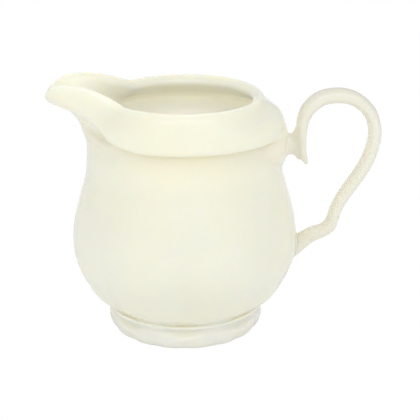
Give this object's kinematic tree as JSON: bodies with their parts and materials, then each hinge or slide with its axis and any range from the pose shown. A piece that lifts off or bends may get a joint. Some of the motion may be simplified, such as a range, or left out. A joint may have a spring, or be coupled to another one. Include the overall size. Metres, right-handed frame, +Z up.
{
  "type": "cream jug",
  "caption": "Lobed porcelain cream jug with a rolled rim, pulled pouring spout, scroll handle and scalloped foot.",
  "frame": {"origin": "centre of the bounding box in plan, on the plane the foot rests on", "axes": "+X towards the handle, -X towards the spout, +Z up; the jug's own axis is vertical at x = -0.0110 m"},
  "size_m": [0.1236, 0.0836, 0.095],
  "materials": {
    "glazed_body": "warm ivory porcelain under a clear gloss glaze",
    "glazed_foot": "the same glaze, with a narrow unglazed band ground flat where the foot rests"
  },
  "bodies": {
    "root": {"foot_ring": "glazed_foot", "foot_moulding": "glazed_foot", "belly_bowl": "glazed_body", "neck_wall": "glazed_body", "collar_band": "glazed_body", "rolled_rim": "glazed_body", "pouring_spout": "glazed_body", "handle_pad": "glazed_body", "handle_neck": "glazed_body", "thumb_scroll": "glazed_body", "handle_crook": "glazed_body", "handle_bend": "glazed_body", "handle_grip": "glazed_body", "handle_elbow": "glazed_body", "lower_strut": "glazed_body"}
  },
  "joints": []
}
